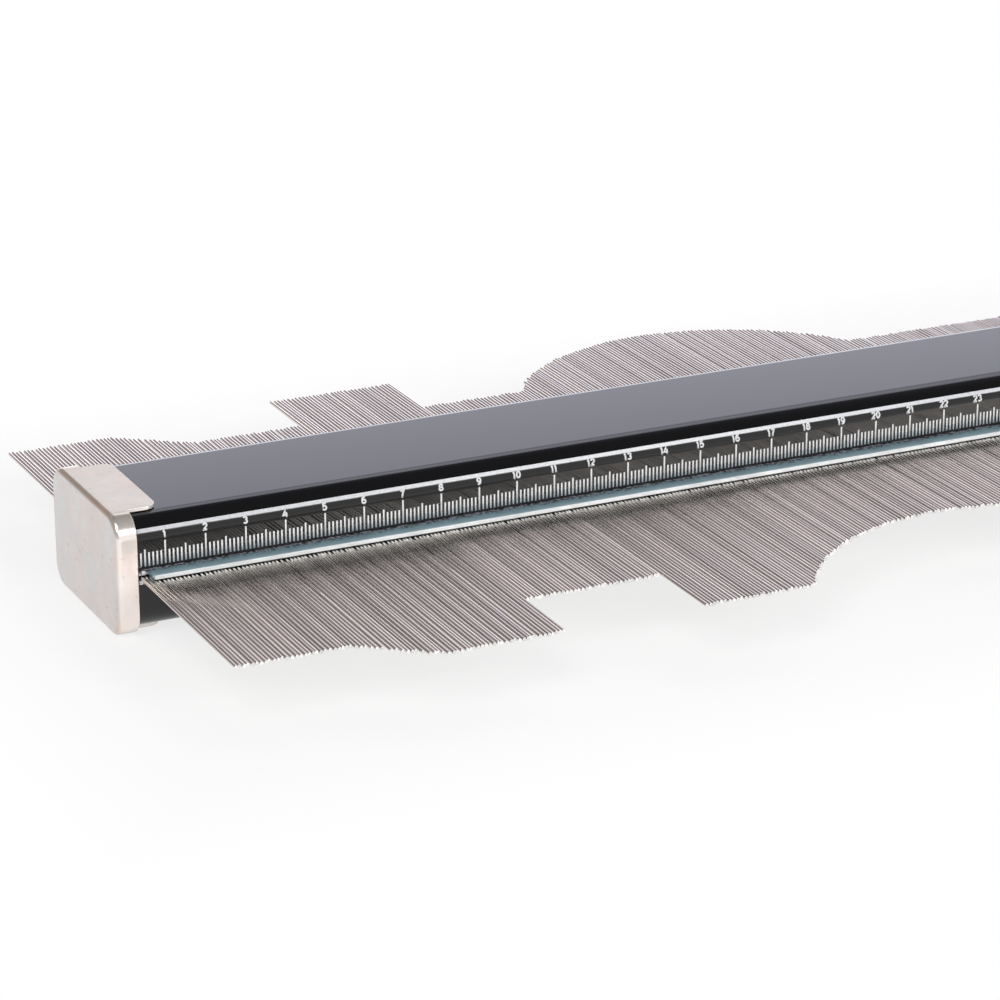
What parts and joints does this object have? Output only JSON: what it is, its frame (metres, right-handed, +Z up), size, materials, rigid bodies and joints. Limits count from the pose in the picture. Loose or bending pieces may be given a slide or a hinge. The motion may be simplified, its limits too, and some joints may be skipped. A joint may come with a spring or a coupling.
{
  "type": "contour gauge",
  "caption": "Contour gauge: a row of thin steel pins gripped between two black sheet-steel halves with bright end caps, pushed against a shape to copy its outline.",
  "frame": {"origin": "centre of the lower channel's flat underside", "axes": "+X along the row of pins, from the scale's zero to its full reading; +Y along the pins, from the side with the scale to the bare side; +Z up, across the two halves"},
  "size_m": [0.3048, 0.1816, 0.03],
  "materials": {
    "black_enamel": "glossy black stoving enamel with a white printed scale",
    "zinc_plated_steel": "bright zinc plating",
    "grey_felt": "pressed felt",
    "nickel_plated_steel": "nickel plating with light wear",
    "pin_steel": "drawn steel wire with deburred ends"
  },
  "bodies": {
    "grip": {"lower_channel": "black_enamel", "upper_channel": "black_enamel", "lower_guide_plate": "zinc_plated_steel", "upper_guide_plate": "zinc_plated_steel", "lower_friction_strip": "grey_felt", "upper_friction_strip": "grey_felt", "left_end_spacer": "zinc_plated_steel", "right_end_spacer": "zinc_plated_steel", "left_end_cap": "nickel_plated_steel", "right_end_cap": "nickel_plated_steel"},
    "pin_bank_01": {"pin_bank_01": "pin_steel"},
    "pin_bank_02": {"pin_bank_02": "pin_steel"},
    "pin_bank_03": {"pin_bank_03": "pin_steel"},
    "pin_bank_04": {"pin_bank_04": "pin_steel"},
    "pin_bank_05": {"pin_bank_05": "pin_steel"},
    "pin_bank_06": {"pin_bank_06": "pin_steel"},
    "pin_bank_07": {"pin_bank_07": "pin_steel"},
    "pin_bank_08": {"pin_bank_08": "pin_steel"},
    "pin_bank_09": {"pin_bank_09": "pin_steel"},
    "pin_bank_10": {"pin_bank_10": "pin_steel"},
    "pin_bank_11": {"pin_bank_11": "pin_steel"},
    "pin_bank_12": {"pin_bank_12": "pin_steel"},
    "pin_bank_13": {"pin_bank_13": "pin_steel"},
    "pin_bank_14": {"pin_bank_14": "pin_steel"},
    "pin_bank_15": {"pin_bank_15": "pin_steel"},
    "pin_bank_16": {"pin_bank_16": "pin_steel"},
    "pin_bank_17": {"pin_bank_17": "pin_steel"},
    "pin_bank_18": {"pin_bank_18": "pin_steel"},
    "pin_bank_19": {"pin_bank_19": "pin_steel"},
    "pin_bank_20": {"pin_bank_20": "pin_steel"},
    "pin_bank_21": {"pin_bank_21": "pin_steel"},
    "pin_bank_22": {"pin_bank_22": "pin_steel"},
    "pin_bank_23": {"pin_bank_23": "pin_steel"},
    "pin_bank_24": {"pin_bank_24": "pin_steel"},
    "pin_bank_25": {"pin_bank_25": "pin_steel"},
    "pin_bank_26": {"pin_bank_26": "pin_steel"},
    "pin_bank_27": {"pin_bank_27": "pin_steel"},
    "pin_bank_28": {"pin_bank_28": "pin_steel"},
    "pin_bank_29": {"pin_bank_29": "pin_steel"},
    "pin_bank_30": {"pin_bank_30": "pin_steel"},
    "pin_bank_31": {"pin_bank_31": "pin_steel"},
    "pin_bank_32": {"pin_bank_32": "pin_steel"},
    "pin_bank_33": {"pin_bank_33": "pin_steel"},
    "pin_bank_34": {"pin_bank_34": "pin_steel"},
    "pin_bank_35": {"pin_bank_35": "pin_steel"},
    "pin_bank_36": {"pin_bank_36": "pin_steel"},
    "pin_bank_37": {"pin_bank_37": "pin_steel"},
    "pin_bank_38": {"pin_bank_38": "pin_steel"},
    "pin_bank_39": {"pin_bank_39": "pin_steel"},
    "pin_bank_40": {"pin_bank_40": "pin_steel"},
    "pin_bank_41": {"pin_bank_41": "pin_steel"},
    "pin_bank_42": {"pin_bank_42": "pin_steel"}
  },
  "joints": [
    {"name": "pin_bank_01_slide", "type": "slide", "parent": "grip", "child": "pin_bank_01", "axis": [0, 1, 0], "range_m": [-0.0455, 0.0539]},
    {"name": "pin_bank_02_slide", "type": "slide", "parent": "grip", "child": "pin_bank_02", "axis": [0, 1, 0], "range_m": [-0.0455, 0.0538]},
    {"name": "pin_bank_03_slide", "type": "slide", "parent": "grip", "child": "pin_bank_03", "axis": [0, 1, 0], "range_m": [-0.0455, 0.0538]},
    {"name": "pin_bank_04_slide", "type": "slide", "parent": "grip", "child": "pin_bank_04", "axis": [0, 1, 0], "range_m": [-0.0455, 0.0538]},
    {"name": "pin_bank_05_slide", "type": "slide", "parent": "grip", "child": "pin_bank_05", "axis": [0, 1, 0], "range_m": [-0.0418, 0.0541]},
    {"name": "pin_bank_06_slide", "type": "slide", "parent": "grip", "child": "pin_bank_06", "axis": [0, 1, 0], "range_m": [-0.0372, 0.0593]},
    {"name": "pin_bank_07_slide", "type": "slide", "parent": "grip", "child": "pin_bank_07", "axis": [0, 1, 0], "range_m": [-0.0327, 0.0639]},
    {"name": "pin_bank_08_slide", "type": "slide", "parent": "grip", "child": "pin_bank_08", "axis": [0, 1, 0], "range_m": [-0.0327, 0.0667]},
    {"name": "pin_bank_09_slide", "type": "slide", "parent": "grip", "child": "pin_bank_09", "axis": [0, 1, 0], "range_m": [-0.033, 0.0667]},
    {"name": "pin_bank_10_slide", "type": "slide", "parent": "grip", "child": "pin_bank_10", "axis": [0, 1, 0], "range_m": [-0.0327, 0.0666]},
    {"name": "pin_bank_11_slide", "type": "slide", "parent": "grip", "child": "pin_bank_11", "axis": [0, 1, 0], "range_m": [-0.0327, 0.0666]},
    {"name": "pin_bank_12_slide", "type": "slide", "parent": "grip", "child": "pin_bank_12", "axis": [0, 1, 0], "range_m": [-0.0536, 0.0458]},
    {"name": "pin_bank_13_slide", "type": "slide", "parent": "grip", "child": "pin_bank_13", "axis": [0, 1, 0], "range_m": [-0.0536, 0.0458]},
    {"name": "pin_bank_14_slide", "type": "slide", "parent": "grip", "child": "pin_bank_14", "axis": [0, 1, 0], "range_m": [-0.0535, 0.0458]},
    {"name": "pin_bank_15_slide", "type": "slide", "parent": "grip", "child": "pin_bank_15", "axis": [0, 1, 0], "range_m": [-0.0535, 0.0459]},
    {"name": "pin_bank_16_slide", "type": "slide", "parent": "grip", "child": "pin_bank_16", "axis": [0, 1, 0], "range_m": [-0.0535, 0.0458]},
    {"name": "pin_bank_17_slide", "type": "slide", "parent": "grip", "child": "pin_bank_17", "axis": [0, 1, 0], "range_m": [-0.0327, 0.0666]},
    {"name": "pin_bank_18_slide", "type": "slide", "parent": "grip", "child": "pin_bank_18", "axis": [0, 1, 0], "range_m": [-0.0327, 0.0666]},
    {"name": "pin_bank_19_slide", "type": "slide", "parent": "grip", "child": "pin_bank_19", "axis": [0, 1, 0], "range_m": [-0.0327, 0.0666]},
    {"name": "pin_bank_20_slide", "type": "slide", "parent": "grip", "child": "pin_bank_20", "axis": [0, 1, 0], "range_m": [-0.0327, 0.0666]},
    {"name": "pin_bank_21_slide", "type": "slide", "parent": "grip", "child": "pin_bank_21", "axis": [0, 1, 0], "range_m": [-0.0334, 0.0576]},
    {"name": "pin_bank_22_slide", "type": "slide", "parent": "grip", "child": "pin_bank_22", "axis": [0, 1, 0], "range_m": [-0.0435, 0.0514]},
    {"name": "pin_bank_23_slide", "type": "slide", "parent": "grip", "child": "pin_bank_23", "axis": [0, 1, 0], "range_m": [-0.0498, 0.0461]},
    {"name": "pin_bank_24_slide", "type": "slide", "parent": "grip", "child": "pin_bank_24", "axis": [0, 1, 0], "range_m": [-0.054, 0.0429]},
    {"name": "pin_bank_25_slide", "type": "slide", "parent": "grip", "child": "pin_bank_25", "axis": [0, 1, 0], "range_m": [-0.0572, 0.0403]},
    {"name": "pin_bank_26_slide", "type": "slide", "parent": "grip", "child": "pin_bank_26", "axis": [0, 1, 0], "range_m": [-0.0599, 0.039]},
    {"name": "pin_bank_27_slide", "type": "slide", "parent": "grip", "child": "pin_bank_27", "axis": [0, 1, 0], "range_m": [-0.0609, 0.0382]},
    {"name": "pin_bank_28_slide", "type": "slide", "parent": "grip", "child": "pin_bank_28", "axis": [0, 1, 0], "range_m": [-0.0615, 0.0381]},
    {"name": "pin_bank_29_slide", "type": "slide", "parent": "grip", "child": "pin_bank_29", "axis": [0, 1, 0], "range_m": [-0.0599, 0.039]},
    {"name": "pin_bank_30_slide", "type": "slide", "parent": "grip", "child": "pin_bank_30", "axis": [0, 1, 0], "range_m": [-0.0572, 0.0401]},
    {"name": "pin_bank_31_slide", "type": "slide", "parent": "grip", "child": "pin_bank_31", "axis": [0, 1, 0], "range_m": [-0.0541, 0.0427]},
    {"name": "pin_bank_32_slide", "type": "slide", "parent": "grip", "child": "pin_bank_32", "axis": [0, 1, 0], "range_m": [-0.0493, 0.0464]},
    {"name": "pin_bank_33_slide", "type": "slide", "parent": "grip", "child": "pin_bank_33", "axis": [0, 1, 0], "range_m": [-0.0435, 0.0514]},
    {"name": "pin_bank_34_slide", "type": "slide", "parent": "grip", "child": "pin_bank_34", "axis": [0, 1, 0], "range_m": [-0.0342, 0.0576]},
    {"name": "pin_bank_35_slide", "type": "slide", "parent": "grip", "child": "pin_bank_35", "axis": [0, 1, 0], "range_m": [-0.0327, 0.0666]},
    {"name": "pin_bank_36_slide", "type": "slide", "parent": "grip", "child": "pin_bank_36", "axis": [0, 1, 0], "range_m": [-0.0327, 0.0666]},
    {"name": "pin_bank_37_slide", "type": "slide", "parent": "grip", "child": "pin_bank_37", "axis": [0, 1, 0], "range_m": [-0.0329, 0.0667]},
    {"name": "pin_bank_38_slide", "type": "slide", "parent": "grip", "child": "pin_bank_38", "axis": [0, 1, 0], "range_m": [-0.0327, 0.0666]},
    {"name": "pin_bank_39_slide", "type": "slide", "parent": "grip", "child": "pin_bank_39", "axis": [0, 1, 0], "range_m": [-0.0328, 0.0666]},
    {"name": "pin_bank_40_slide", "type": "slide", "parent": "grip", "child": "pin_bank_40", "axis": [0, 1, 0], "range_m": [-0.0327, 0.0667]},
    {"name": "pin_bank_41_slide", "type": "slide", "parent": "grip", "child": "pin_bank_41", "axis": [0, 1, 0], "range_m": [-0.0327, 0.0666]},
    {"name": "pin_bank_42_slide", "type": "slide", "parent": "grip", "child": "pin_bank_42", "axis": [0, 1, 0], "range_m": [-0.0327, 0.0666]}
  ]
}
